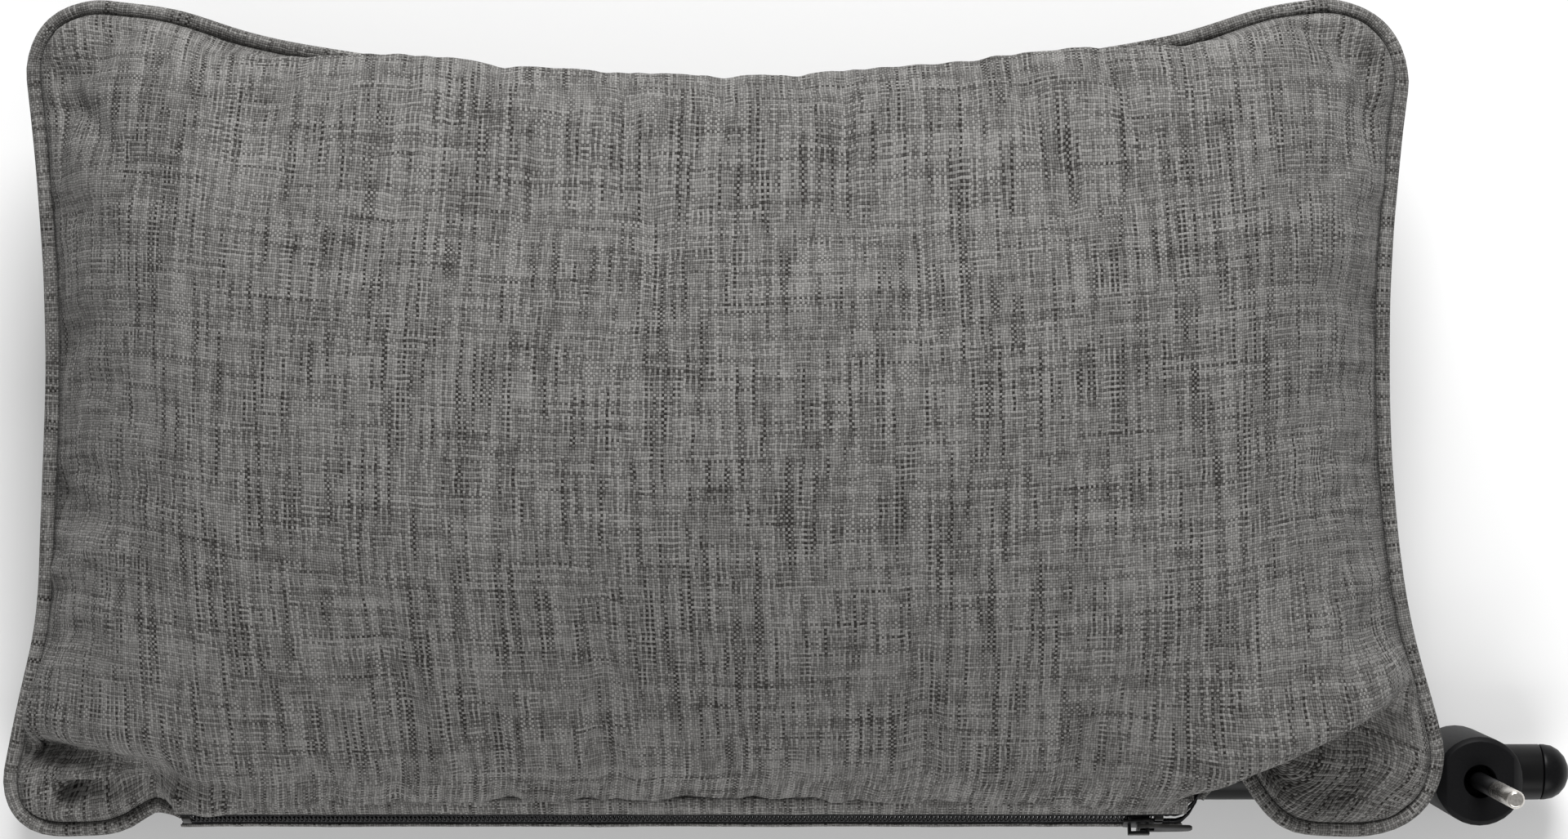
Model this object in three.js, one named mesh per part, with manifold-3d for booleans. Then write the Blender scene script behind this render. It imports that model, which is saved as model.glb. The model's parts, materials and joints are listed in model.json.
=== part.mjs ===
// Camp pillow: a piped and zipped cushion on a steel bar, with a turning pin boss near each end.
// Millimetres. X runs along the bar, Y towards the pillow's top edge, Z up out of its front.
// The pillow lies on its back. The origin is the middle of the patch of back that it rests on.

import * as THREE from 'three';
import { mergeVertices } from 'three/addons/utils/BufferGeometryUtils.js';
import Module from 'manifold-3d';

const wasm = await Module();
wasm.setup();

// Pillow outline, over the piping
const bottomHalfWidth = 200;
const topTaper = 7.5;
const topHalfWidth = bottomHalfWidth - topTaper;
const halfHeight = 116.5;
const sideDip = 9;
const topDip = 20;
const bottomDip = 3.7;
const cornerReach = 26;

// Pillow thickness and cloth
const seamHeight = 48;
const frontCrown = 57;
const backCrown = 53;
const coverThickness = 1.2;
const casingThickness = 0.8;
const softGap = 2.2;
const seamGap = 0.4;
const pipingRadius = 2.1;
const pipingWall = 0.7;

// Zip, centred on the bottom edge and rolled towards the front
const zipTilt = 22;
const zipLeft = 50 - bottomHalfWidth;
const zipRight = bottomHalfWidth - 67;
const tapeWidth = 3.2;
const tapeThickness = 0.8;
const coilWidth = 1.6;
const coilThickness = 2;
const coilSpacing = 1.4;
const stopLength = 2.4;
const sliderLength = 8.4;
const sliderWidth = 7.6;
const sliderPlate = 0.9;
const pullLength = 15;
const pullWidth = 5;
const pullThickness = 0.9;

// Bosses and pins. The right boss stands just beyond the pillow's corner, the left one under it.
const bossRadius = 12.5;
const bossFront = 28;
const bossBevel = 3.2;
const cornerClearance = 0.5;
const leftBossInset = 18;
const rightBossX = bottomHalfWidth + bossRadius + cornerClearance;
const leftBossX = leftBossInset - bottomHalfWidth;
const counterboreRadius = 4.6;
const counterboreDepth = 10;
const pinRadius = 2.5;
const pinReach = 49;
const sleeveReach = 24;
const sleeveWall = 0.65;
const pinSeatDepth = 6;

// Bar, along the pillow's bottom edge and out past both bosses
const barRadius = 8;
const barWall = 1.2;
const barRightReach = 22;
const barLeftReach = 14;
const barRight = rightBossX + barRightReach;
const barLeft = leftBossX - barLeftReach;
const barLength = barRight - barLeft;
const capDome = 8.6;
const capPlug = 12;
const barUpFromEdge = 15;
const barY = barUpFromEdge - halfHeight;

// Webbing loops that hold the bar to the pillow's back
const loopOffset = 100;
const loopWidth = 25;
const loopThickness = 1.3;
const loopReachInner = 13;
const loopReachOuter = 3;

// Clearances
const gap = 0.3;
const runningGap = 0.1;
const loopGap = 0.5;

const barZ = bossRadius;
const roundSides = 32;
const degrees = Math.PI / 180;

const materials = {
  cover: { color: 0x6f6d6a, roughness: 0.95, metalness: 0 },
  casing: { color: 0xe4e2dc, roughness: 0.9, metalness: 0 },
  filling: { color: 0xf2f1ee, roughness: 1, metalness: 0 },
  tape: { color: 0x0d0d0e, roughness: 0.85, metalness: 0 },
  coil: { color: 0x151516, roughness: 0.5, metalness: 0 },
  webbing: { color: 0x121213, roughness: 0.85, metalness: 0 },
  blackMetal: { color: 0x0b0b0c, roughness: 0.4, metalness: 0.6 },
  blackPlastic: { color: 0x0a0a0b, roughness: 0.45, metalness: 0 },
  steel: { color: 0xc9c8c4, roughness: 0.2, metalness: 1 },
};

const pillow = new THREE.Group();

function addPiece(parent, name, geometry, finish) {
  const mesh = new THREE.Mesh(geometry, new THREE.MeshStandardMaterial(materials[finish]));
  mesh.name = name;
  parent.add(mesh);
  return mesh;
}

// Solids from three.js geometry, for joins and cuts
function toSolid(geometry) {
  const bare = geometry.clone();
  bare.deleteAttribute('normal');
  bare.deleteAttribute('uv');
  const merged = mergeVertices(bare, 1e-4);
  return new wasm.Manifold(new wasm.Mesh({
    numProp: 3,
    vertProperties: new Float32Array(merged.attributes.position.array),
    triVerts: new Uint32Array(merged.index.array),
  }));
}

function toGeometry(solid) {
  const mesh = solid.getMesh();
  const geometry = new THREE.BufferGeometry();
  geometry.setAttribute('position', new THREE.BufferAttribute(mesh.vertProperties, 3));
  geometry.setIndex(new THREE.BufferAttribute(mesh.triVerts, 1));
  geometry.computeVertexNormals();
  return geometry;
}

// A box given by its lowest and highest corners
function boxBetween(low, high) {
  const size = high.map((value, axis) => value - low[axis]);
  const geometry = new THREE.BoxGeometry(...size);
  return geometry.translate(...low.map((value, axis) => value + size[axis] / 2));
}

// A turned piece about Z, from a profile of [radius, height] points
function turned(profile, sides = roundSides) {
  const points = profile.map(([radius, height]) => new THREE.Vector2(radius, height));
  return new THREE.LatheGeometry(points, sides).rotateX(Math.PI / 2);
}

// ---- Pillow outline ----

// The outline's curves, anticlockwise from the bottom edge, each with its number of steps.
// Each side is a shallow curve that dips inwards, and each corner is rounded.
function outlineCurves(inset) {
  const height = halfHeight - inset;
  const corners = [
    new THREE.Vector2(bottomHalfWidth - inset, -height),
    new THREE.Vector2(topHalfWidth - inset, height),
    new THREE.Vector2(inset - topHalfWidth, height),
    new THREE.Vector2(inset - bottomHalfWidth, -height),
  ];
  const dips = [sideDip, topDip, sideDip, bottomDip];
  const sideSteps = [6, 10, 6, 10];
  const cornerSteps = 5;
  const reach = cornerReach - inset;
  const curves = [];
  corners.forEach((corner, index) => {
    const next = corners[(index + 1) % 4];
    const previous = corners[(index + 3) % 4];
    const ahead = next.clone().sub(corner).normalize();
    const behind = previous.clone().sub(corner).normalize();
    const inwards = new THREE.Vector2(-ahead.y, ahead.x);
    const cornerStart = corner.clone().addScaledVector(behind, reach);
    const cornerEnd = corner.clone().addScaledVector(ahead, reach);
    const sideEnd = next.clone().addScaledVector(ahead, -reach);
    const middle = cornerEnd.clone().add(sideEnd).multiplyScalar(0.5);
    middle.addScaledVector(inwards, 2 * dips[index]);
    curves.push({ curve: new THREE.QuadraticBezierCurve(cornerStart, corner, cornerEnd), steps: cornerSteps });
    curves.push({ curve: new THREE.QuadraticBezierCurve(cornerEnd, middle, sideEnd), steps: sideSteps[index] });
  });
  return curves;
}

function outlinePoints(inset) {
  return outlineCurves(inset).flatMap(({ curve, steps }) => curve.getPoints(steps).slice(0, -1));
}

// ---- Domes: one face of the cushion at a given inset from the piping ----

const domeRings = 6;
const crownPower = 0.6;
const edgePower = 1.6;

function domeHeight(share, crown) {
  const angle = Math.asin(Math.min(1, share) ** (1 / crownPower));
  return crown * Math.max(0, Math.cos(angle)) ** edgePower;
}

// Rings of points from the middle to the rim. side is 1 for the front and -1 for the back.
// The back is flat where it rests, at the height of restLevel.
function domePoints(inset, crown, side, rimLevel, restLevel) {
  const rim = outlinePoints(inset);
  const rings = [[new THREE.Vector3(0, 0, Math.max(restLevel, rimLevel + side * crown))]];
  for (let ring = 1; ring <= domeRings; ring += 1) {
    const share = Math.sin((ring / domeRings) * Math.PI / 2) ** crownPower;
    const height = ring === domeRings ? 0 : domeHeight(share, crown);
    const level = Math.max(restLevel, rimLevel + side * height);
    rings.push(rim.map((point) => new THREE.Vector3(point.x * share, point.y * share, level)));
  }
  return rings;
}

// Triangles of one dome. Upwards-facing when the rings run anticlockwise.
function domeTriangles(rings, facesUp) {
  const triangles = [];
  const add = (a, b, c) => triangles.push(...(facesUp ? [a, b, c] : [a, c, b]));
  const count = rings[1].length;
  for (let step = 0; step < count; step += 1) {
    const next = (step + 1) % count;
    add(rings[0][0], rings[1][step], rings[1][next]);
    for (let ring = 1; ring < rings.length - 1; ring += 1) {
      add(rings[ring][step], rings[ring + 1][step], rings[ring + 1][next]);
      add(rings[ring][step], rings[ring + 1][next], rings[ring][next]);
    }
  }
  return triangles;
}

function geometryOf(triangles) {
  return mergeVertices(new THREE.BufferGeometry().setFromPoints(triangles), 1e-4);
}

// A cloth shell: an outer and an inner dome, joined round the rim
function shellGeometry(inset, crown, side, thickness) {
  const rimLevel = seamHeight + side * seamGap / 2;
  const restLevel = inset - clothInsets.cover;
  const outer = domePoints(inset, crown, side, rimLevel, restLevel);
  const inner = domePoints(inset + thickness, crown - thickness, side, rimLevel, restLevel + thickness);
  const triangles = [
    ...domeTriangles(outer, side > 0),
    ...domeTriangles(inner, side < 0),
  ];
  const outerRim = outer[domeRings];
  const innerRim = inner[domeRings];
  outerRim.forEach((point, step) => {
    const next = (step + 1) % outerRim.length;
    const loop = [point, outerRim[next], innerRim[next], innerRim[step]];
    const order = side > 0 ? [0, 2, 1, 0, 3, 2] : [0, 1, 2, 0, 2, 3];
    triangles.push(...order.map((corner) => loop[corner]));
  });
  return geometryOf(triangles);
}

// Where each layer of the cushion starts, counted inwards from over the piping
const coverInset = 2 * pipingRadius + gap;
const casingInset = coverInset + coverThickness + softGap;
const fillingInset = casingInset + casingThickness + softGap;
const clothInsets = { cover: coverInset, casing: casingInset, filling: fillingInset };

// ---- Zip frame: x along the zip, y across the tapes, z out of the tape ----

const zip = new THREE.Group();
const zipY = bottomDip - halfHeight + 2.2;
zip.position.set(0, zipY, seamHeight);
zip.rotation.x = (90 - zipTilt) * degrees;
pillow.add(zip);

const tapeInner = coilSpacing / 2 + coilWidth + gap;
const tapeOuter = tapeInner + tapeWidth;
const slotHalf = tapeOuter + gap;
const slotDepth = 9;

function zipSlot() {
  const slot = boxBetween(
    [zipLeft - gap, -slotHalf, -slotDepth],
    [zipRight + gap, slotHalf, slotDepth],
  );
  zip.updateMatrix();
  return toSolid(slot.applyMatrix4(zip.matrix));
}

// ---- Cushion ----

function coverPanel(crown, side) {
  const shell = toSolid(shellGeometry(clothInsets.cover, crown, side, coverThickness));
  return toGeometry(shell.subtract(zipSlot()));
}

const insetOf = (layer) => clothInsets[layer] - clothInsets.cover;
addPiece(pillow, 'front_panel', coverPanel(frontCrown, 1), 'cover');
addPiece(pillow, 'back_panel', coverPanel(backCrown, -1), 'cover');
addPiece(
  pillow,
  'inner_casing_front',
  shellGeometry(clothInsets.casing, frontCrown - insetOf('casing'), 1, casingThickness),
  'casing',
);
addPiece(
  pillow,
  'inner_casing_back',
  shellGeometry(clothInsets.casing, backCrown - insetOf('casing'), -1, casingThickness),
  'casing',
);

function fillingGeometry() {
  const depth = insetOf('filling');
  const front = domePoints(clothInsets.filling, frontCrown - depth, 1, seamHeight, depth);
  const back = domePoints(clothInsets.filling, backCrown - depth, -1, seamHeight, depth);
  return geometryOf([...domeTriangles(front, true), ...domeTriangles(back, false)]);
}

addPiece(pillow, 'filling', fillingGeometry(), 'filling');

// ---- Piping: a cord in a cloth cover, from one end of the zip round to the other ----

class PipingPath extends THREE.Curve {
  constructor(points) {
    super();
    this.points = points;
  }

  getPoint(share, target = new THREE.Vector3()) {
    const place = share * (this.points.length - 1);
    const index = Math.min(this.points.length - 2, Math.floor(place));
    return target.lerpVectors(this.points[index], this.points[index + 1], place - index);
  }

  getPointAt(share, target) {
    return this.getPoint(share, target);
  }

  getTangentAt(share, target = new THREE.Vector3()) {
    const place = Math.round(share * (this.points.length - 1));
    const before = this.points[Math.max(0, place - 1)];
    const after = this.points[Math.min(this.points.length - 1, place + 1)];
    return target.copy(after).sub(before).normalize();
  }
}

function pipingPoints() {
  const ring = outlinePoints(pipingRadius);
  const onZip = (point) => point.y < 0 && point.x > zipLeft - gap && point.x < zipRight + gap;
  const kept = ring.filter((point) => !onZip(point));
  const first = ring.findIndex((point, step) => !onZip(point) && onZip(ring.at(step - 1)));
  const start = kept.indexOf(ring[Math.max(0, first)]);
  const ordered = [...kept.slice(start), ...kept.slice(0, start)];
  return ordered.map((point) => new THREE.Vector3(point.x, point.y, seamHeight));
}

function circleShape(radius, sides) {
  const points = [];
  for (let step = 0; step < sides; step += 1) {
    const angle = (step / sides) * 2 * Math.PI;
    points.push(new THREE.Vector2(radius * Math.cos(angle), radius * Math.sin(angle)));
  }
  return points;
}

const pipingLine = pipingPoints();

function alongPiping(outerRadius, innerRadius) {
  const sides = 8;
  const section = new THREE.Shape(circleShape(outerRadius, sides));
  if (innerRadius > 0) section.holes.push(new THREE.Path(circleShape(innerRadius, sides)));
  return new THREE.ExtrudeGeometry(section, {
    steps: pipingLine.length - 1,
    extrudePath: new PipingPath(pipingLine),
    curveSegments: 1,
  });
}

const cordHole = pipingRadius - pipingWall;
addPiece(pillow, 'piping_cover', alongPiping(pipingRadius, cordHole), 'cover');
addPiece(pillow, 'piping_cord', alongPiping(cordHole - gap, 0), 'casing');

// ---- Zip pieces ----

const coilInner = coilSpacing / 2;
const coilOuter = coilInner + coilWidth;
const coilLeft = zipLeft + stopLength + 2 * gap;
const coilRight = zipRight - pullLength + stopLength;
const halfCoil = coilThickness / 2;
const stopHalf = halfCoil + gap;

// A strip on the front half (side 1) or the back half (side -1) of the zip
function zipStrip(side, left, right, inner, outer, halfDepth) {
  const across = [side * inner, side * outer].sort((a, b) => a - b);
  return boxBetween([left, across[0], -halfDepth], [right, across[1], halfDepth]);
}

for (const [name, side] of [['front', 1], ['back', -1]]) {
  const tape = zipStrip(side, zipLeft, zipRight, tapeInner, tapeOuter, tapeThickness / 2);
  addPiece(zip, `zip_tape_${name}`, tape, 'tape');
  const coil = zipStrip(side, coilLeft, coilRight, coilInner, coilOuter, halfCoil);
  addPiece(zip, `zip_coil_${name}`, coil, 'coil');
  const stopLeft = coilRight + gap;
  const stop = zipStrip(side, stopLeft, stopLeft + stopLength, coilInner, coilOuter, stopHalf);
  addPiece(zip, `zip_top_stop_${name}`, stop, 'blackMetal');
}
const endStop = boxBetween(
  [zipLeft + gap, -coilOuter, -stopHalf],
  [zipLeft + gap + stopLength, coilOuter, stopHalf],
);
addPiece(zip, 'zip_end_stop', endStop, 'blackMetal');

// Slider: two plates that hold the coils between them, a web in the slot between the coils,
// lips beside the coils, and a bridge over the top that carries the pull.
const sliderX = coilRight - sliderLength / 2;
const plateInner = halfCoil + gap;
const plateOuter = plateInner + sliderPlate;
const bridgeHeight = 2;
const bridgeBar = 0.9;
const bridgeHalfLength = 3;
const bridgeHalfWidth = 0.8;

const slider = new THREE.Group();
slider.position.set(sliderX, 0, 0);
zip.add(slider);

function sliderPlateShape() {
  const halfLength = sliderLength / 2;
  const halfWidth = sliderWidth / 2;
  const shape = new THREE.Shape();
  shape.moveTo(-halfLength, -halfWidth * 0.7);
  shape.quadraticCurveTo(0, -halfWidth * 0.9, halfLength * 0.5, -halfWidth);
  shape.quadraticCurveTo(halfLength, -halfWidth, halfLength, 0);
  shape.quadraticCurveTo(halfLength, halfWidth, halfLength * 0.5, halfWidth);
  shape.quadraticCurveTo(0, halfWidth * 0.9, -halfLength, halfWidth * 0.7);
  shape.closePath();
  return shape;
}

function extrudeUp(shape, low, high) {
  const options = { depth: high - low, bevelEnabled: false, curveSegments: 3 };
  return new THREE.ExtrudeGeometry(shape, options).translate(0, 0, low);
}

function sliderGeometry() {
  const webHalf = coilInner - gap;
  const lipInner = coilOuter + gap;
  const lipOuter = lipInner + 0.5;
  const lipLow = tapeThickness / 2 + gap;
  const lipHalfLength = sliderLength / 2 - 1.2;
  let solid = toSolid(extrudeUp(sliderPlateShape(), plateInner, plateOuter));
  solid = solid.add(toSolid(extrudeUp(sliderPlateShape(), -plateOuter, -plateInner)));
  const parts = [boxBetween([1, -webHalf, -plateInner - 0.2], [2.6, webHalf, plateInner + 0.2])];
  for (const side of [1, -1]) {
    const [low, high] = [side * lipInner, side * lipOuter].sort((a, b) => a - b);
    parts.push(boxBetween([-lipHalfLength, low, lipLow], [lipHalfLength, high, plateInner + 0.2]));
    parts.push(boxBetween([-lipHalfLength, low, -plateInner - 0.2], [lipHalfLength, high, -lipLow]));
  }
  const bridgeTop = plateOuter + bridgeHeight + bridgeBar;
  const arch = boxBetween(
    [-bridgeHalfLength, -bridgeHalfWidth, plateOuter - 0.2],
    [bridgeHalfLength, bridgeHalfWidth, bridgeTop],
  );
  const archHole = boxBetween(
    [bridgeBar - bridgeHalfLength, -2 * bridgeHalfWidth, plateOuter],
    [bridgeHalfLength - bridgeBar, 2 * bridgeHalfWidth, plateOuter + bridgeHeight],
  );
  parts.forEach((part) => { solid = solid.add(toSolid(part)); });
  return toGeometry(solid.add(toSolid(arch).subtract(toSolid(archHole))));
}

addPiece(slider, 'zip_slider', sliderGeometry(), 'blackMetal');

// Pull: a flat tab whose bar lies under the bridge. It turns about that bar.
function pullGeometry() {
  const halfWidth = pullWidth / 2;
  const holeHalf = bridgeHalfWidth + 0.5;
  const barHalf = 0.5;
  const holeEnd = bridgeHalfLength + 1.4;
  const shape = new THREE.Shape();
  shape.moveTo(-barHalf, -halfWidth);
  shape.lineTo(holeEnd + 1, -halfWidth);
  shape.lineTo(pullLength - 2, -halfWidth * 0.8);
  shape.quadraticCurveTo(pullLength, -halfWidth * 0.8, pullLength, 0);
  shape.quadraticCurveTo(pullLength, halfWidth * 0.8, pullLength - 2, halfWidth * 0.8);
  shape.lineTo(holeEnd + 1, halfWidth);
  shape.lineTo(-barHalf, halfWidth);
  shape.closePath();
  shape.holes.push(new THREE.Path([
    new THREE.Vector2(barHalf, -holeHalf),
    new THREE.Vector2(holeEnd, -holeHalf),
    new THREE.Vector2(holeEnd, holeHalf),
    new THREE.Vector2(barHalf, holeHalf),
  ]));
  return extrudeUp(shape, -pullThickness / 2, pullThickness / 2);
}

const pull = addPiece(slider, 'zip_pull', pullGeometry(), 'blackMetal');
pull.position.z = plateOuter + bridgeHeight / 2;

// ---- Bar with its end caps ----

const bar = new THREE.Group();
bar.position.set((barLeft + barRight) / 2, barY, barZ);
bar.rotation.y = Math.PI / 2;
pillow.add(bar);

const tubeBore = barRadius - barWall;
const tube = turned([
  [tubeBore, -barLength / 2],
  [barRadius, -barLength / 2],
  [barRadius, barLength / 2],
  [tubeBore, barLength / 2],
  [tubeBore, -barLength / 2],
]);
addPiece(bar, 'bar_tube', tube, 'blackMetal');

// A domed cap with a plug in the tube's bore. It points along +Z from the tube's end.
function capGeometry() {
  const profile = [[0, -capPlug], [tubeBore - gap, -capPlug], [tubeBore - gap, gap], [barRadius, gap]];
  const domeSteps = 5;
  for (let step = 0; step <= domeSteps; step += 1) {
    const angle = (step / domeSteps) * 90 * degrees;
    const radius = step === domeSteps ? 0 : barRadius * Math.cos(angle);
    profile.push([radius, gap + 1 + (capDome - gap - 1) * Math.sin(angle)]);
  }
  return turned(profile, 24);
}

const capRight = addPiece(bar, 'end_cap_right', capGeometry(), 'blackPlastic');
capRight.position.z = barLength / 2;
const capLeft = addPiece(bar, 'end_cap_left', capGeometry(), 'blackPlastic');
capLeft.position.z = -barLength / 2;
capLeft.rotation.x = Math.PI;

// ---- Bosses: a round block on the bar, with a pin standing in its front face ----

const seatRadius = pinRadius - sleeveWall + gap;
const counterboreFloor = bossFront - counterboreDepth;

function bossGeometry() {
  const edge = 1.2;
  const seatFloor = counterboreFloor - pinSeatDepth;
  const block = toSolid(turned([
    [0, seatFloor],
    [seatRadius, seatFloor],
    [seatRadius, counterboreFloor],
    [counterboreRadius, counterboreFloor],
    [counterboreRadius, bossFront],
    [bossRadius - edge, bossFront],
    [bossRadius, bossFront - edge],
    [bossRadius, edge - bossRadius],
    [bossRadius - edge, -bossRadius],
    [0, -bossRadius],
  ].reverse()));
  const barHole = turned([
    [0, -2 * bossRadius],
    [barRadius + runningGap, -2 * bossRadius],
    [barRadius + runningGap, 2 * bossRadius],
    [0, 2 * bossRadius],
  ]).rotateY(Math.PI / 2);
  let solid = block.subtract(toSolid(barHole));
  for (const side of [1, -1]) {
    const bevel = new THREE.BoxGeometry(2 * bossBevel, 4 * bossRadius, 4 * bossBevel);
    bevel.translate(bossBevel, 0, 0).rotateY(-45 * degrees * side * side);
    if (side < 0) bevel.rotateZ(Math.PI);
    bevel.translate(side * (bossRadius - bossBevel), 0, bossFront);
    solid = solid.subtract(toSolid(bevel));
  }
  return toGeometry(solid);
}

function pinGeometry() {
  const chamfer = 0.7;
  const rootRadius = pinRadius - sleeveWall - gap / 2;
  const tip = bossFront + pinReach;
  const shoulder = bossFront + sleeveReach;
  return turned([
    [0, counterboreFloor - pinSeatDepth + gap],
    [rootRadius, counterboreFloor - pinSeatDepth + gap],
    [rootRadius, shoulder],
    [pinRadius, shoulder],
    [pinRadius, tip - chamfer],
    [pinRadius - chamfer, tip],
    [0, tip],
  ], 20);
}

function sleeveGeometry() {
  const low = counterboreFloor + gap;
  const high = bossFront + sleeveReach - gap;
  const inner = pinRadius - sleeveWall + gap / 2;
  return turned([[inner, low], [pinRadius, low], [pinRadius, high], [inner, high], [inner, low]], 20);
}

function addBoss(side, x, turn) {
  const boss = new THREE.Group();
  boss.position.set(x, barY, barZ);
  boss.rotation.x = turn * degrees;
  pillow.add(boss);
  addPiece(boss, `boss_${side}`, bossGeometry(), 'blackPlastic');
  addPiece(boss, `pin_${side}`, pinGeometry(), 'steel');
  addPiece(boss, `pin_sleeve_${side}`, sleeveGeometry(), 'blackPlastic');
}

addBoss('right', rightBossX, 0);
addBoss('left', leftBossX, -90);

// ---- Webbing loops: each is a sling under the bar, sewn flat to the back panel ----

// How far a point lies from the middle of an outline: 0 in the middle, 1 on the outline
function outlineShare(x, y, inset) {
  const rim = outlinePoints(inset);
  for (let step = 0; step < rim.length; step += 1) {
    const a = rim[step];
    const b = rim[(step + 1) % rim.length];
    const det = x * (a.y - b.y) - y * (a.x - b.x);
    const along = (a.x * (a.y - b.y) - a.y * (a.x - b.x)) / det;
    const across = (x * a.y - y * a.x) / det;
    if (along > 0 && across >= 0 && across <= 1) return 1 / along;
  }
  return 0;
}

// The level of the back panel's outside at a place, read between the rings as its facets lie
function backLevel(x, y) {
  const share = outlineShare(x, y, clothInsets.cover);
  const ringShare = (ring) => Math.sin((ring / domeRings) * Math.PI / 2) ** crownPower;
  let ring = 1;
  while (ring < domeRings && ringShare(ring) < share) ring += 1;
  const [inner, outer] = [ringShare(ring - 1), ringShare(ring)];
  const level = (at) => seamHeight - seamGap / 2 - (at === 1 ? 0 : domeHeight(at, backCrown));
  const mix = (share - inner) / (outer - inner);
  return level(inner) * (1 - mix) + level(outer) * mix;
}

// The loop's outline in Y and Z. Its top follows the panel and its underside the bar.
// The corner beside the bar is sharp, so the opening's outline steps further in there.
function loopOutline(centreX, shrink) {
  const topSteps = 5;
  const sharpCorner = 2.4;
  const slopeAllowance = 1.3;
  const sling = barRadius + loopGap + loopThickness - shrink;
  const yOuter = barY - loopReachOuter + shrink;
  const yInner = barY + loopReachInner - sharpCorner * shrink;
  const points = [];
  for (let step = 0; step <= topSteps; step += 1) {
    const y = yInner + (yOuter - yInner) * (step / topSteps);
    const edges = [-loopWidth / 2, 0, loopWidth / 2].map((shift) => backLevel(centreX + shift, y));
    points.push(new THREE.Vector2(y, Math.min(...edges) - 2 * gap - slopeAllowance * shrink));
  }
  const slingSteps = 10;
  const slingStart = 160;
  const slingTurn = 180;
  for (let step = 0; step <= slingSteps; step += 1) {
    const angle = (slingStart + slingTurn * (step / slingSteps)) * degrees;
    points.push(new THREE.Vector2(barY + sling * Math.cos(angle), barZ + sling * Math.sin(angle)));
  }
  return points;
}

function loopGeometry(centreX) {
  const shape = new THREE.Shape(loopOutline(centreX, 0));
  shape.holes.push(new THREE.Path(loopOutline(centreX, loopThickness)));
  const geometry = new THREE.ExtrudeGeometry(shape, { depth: loopWidth, bevelEnabled: false });
  // The shape is drawn in Y and Z, so its own depth becomes X.
  const turn = new THREE.Matrix4().makeBasis(
    new THREE.Vector3(0, 1, 0),
    new THREE.Vector3(0, 0, 1),
    new THREE.Vector3(1, 0, 0),
  );
  return geometry.applyMatrix4(turn).translate(centreX - loopWidth / 2, 0, 0);
}

addPiece(pillow, 'bar_loop_right', loopGeometry(loopOffset), 'webbing');
addPiece(pillow, 'bar_loop_left', loopGeometry(-loopOffset), 'webbing');

export default pillow;
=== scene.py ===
"""Camp head pillow: a piped, zipped cushion on a black bar with turning pin blocks."""
import json
import math

import bmesh
import bpy
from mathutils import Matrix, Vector, noise
from mathutils.bvhtree import BVHTree


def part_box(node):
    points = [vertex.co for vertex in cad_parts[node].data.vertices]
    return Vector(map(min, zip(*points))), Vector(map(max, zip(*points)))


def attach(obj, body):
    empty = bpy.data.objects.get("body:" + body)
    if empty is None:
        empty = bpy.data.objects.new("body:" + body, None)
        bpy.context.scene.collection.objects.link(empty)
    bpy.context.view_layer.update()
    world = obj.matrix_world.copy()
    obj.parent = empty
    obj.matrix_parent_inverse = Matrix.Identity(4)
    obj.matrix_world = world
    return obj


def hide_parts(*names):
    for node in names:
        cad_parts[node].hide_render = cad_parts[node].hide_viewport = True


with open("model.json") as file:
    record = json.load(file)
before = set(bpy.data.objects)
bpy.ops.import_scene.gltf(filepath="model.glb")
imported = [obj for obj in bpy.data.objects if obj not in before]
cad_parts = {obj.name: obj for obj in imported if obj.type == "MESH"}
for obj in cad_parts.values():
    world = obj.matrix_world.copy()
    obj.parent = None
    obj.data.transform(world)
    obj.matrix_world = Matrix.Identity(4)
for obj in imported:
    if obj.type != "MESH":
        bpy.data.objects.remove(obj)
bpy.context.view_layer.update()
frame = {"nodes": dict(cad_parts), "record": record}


# ----------------------------------------------------------
# The table top, the light and the camera. The pillow lies on its back and is seen from straight
# above, from a metre over its seam.
# ----------------------------------------------------------
MM = 0.001
scene = bpy.context.scene
table_reach, table_drop = 6.0, 0.3 * MM
camera_height, camera_right, camera_lens = 1.0, 17.7 * MM, 82.5
daylight = 0.34
piping_low, piping_high = (Vector(corner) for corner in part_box("piping_cover"))
seam_level = (piping_low.z + piping_high.z) / 2
pillow_mid = (piping_low + piping_high) / 2


def put_in_scene(name, data):
    thing = bpy.data.objects.new(name, data)
    scene.collection.objects.link(thing)
    return thing


def plain_material(name, colour, roughness):
    material = bpy.data.materials.new(name)
    material.use_nodes = True
    shader = material.node_tree.nodes["Principled BSDF"]
    shader.inputs["Base Color"].default_value = (*colour, 1)
    shader.inputs["Roughness"].default_value = roughness
    return material


def lay_floor():
    mesh = bpy.data.meshes.new("table_top")
    corners = [(-table_reach, -table_reach), (table_reach, -table_reach),
               (table_reach, table_reach), (-table_reach, table_reach)]
    mesh.from_pydata([(x, y, -table_drop) for x, y in corners], [], [(0, 1, 2, 3)])
    mesh.materials.append(plain_material("pale_table", (0.86, 0.86, 0.86), 0.9))
    floor = put_in_scene("table_top", mesh)


def hang_light(name, place, size, power):
    """A softbox over the table, turned towards the pillow."""
    aim = (0, 0, 0.05)
    lamp = bpy.data.lights.new(name, "AREA")
    lamp.shape = "RECTANGLE"
    lamp.size, lamp.size_y = size
    lamp.energy = power
    light = put_in_scene(name, lamp)
    light.location = place
    light.rotation_euler = (Vector(aim) - Vector(place)).to_track_quat("-Z", "Y").to_euler()


def place_camera():
    camera = bpy.data.cameras.new("camera")
    camera.sensor_width = 36.0
    camera.lens = camera_lens
    camera.clip_start = 0.01
    view = put_in_scene("camera", camera)
    view.location = (pillow_mid.x + camera_right, pillow_mid.y, seam_level + camera_height)
    scene.camera = view


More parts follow.
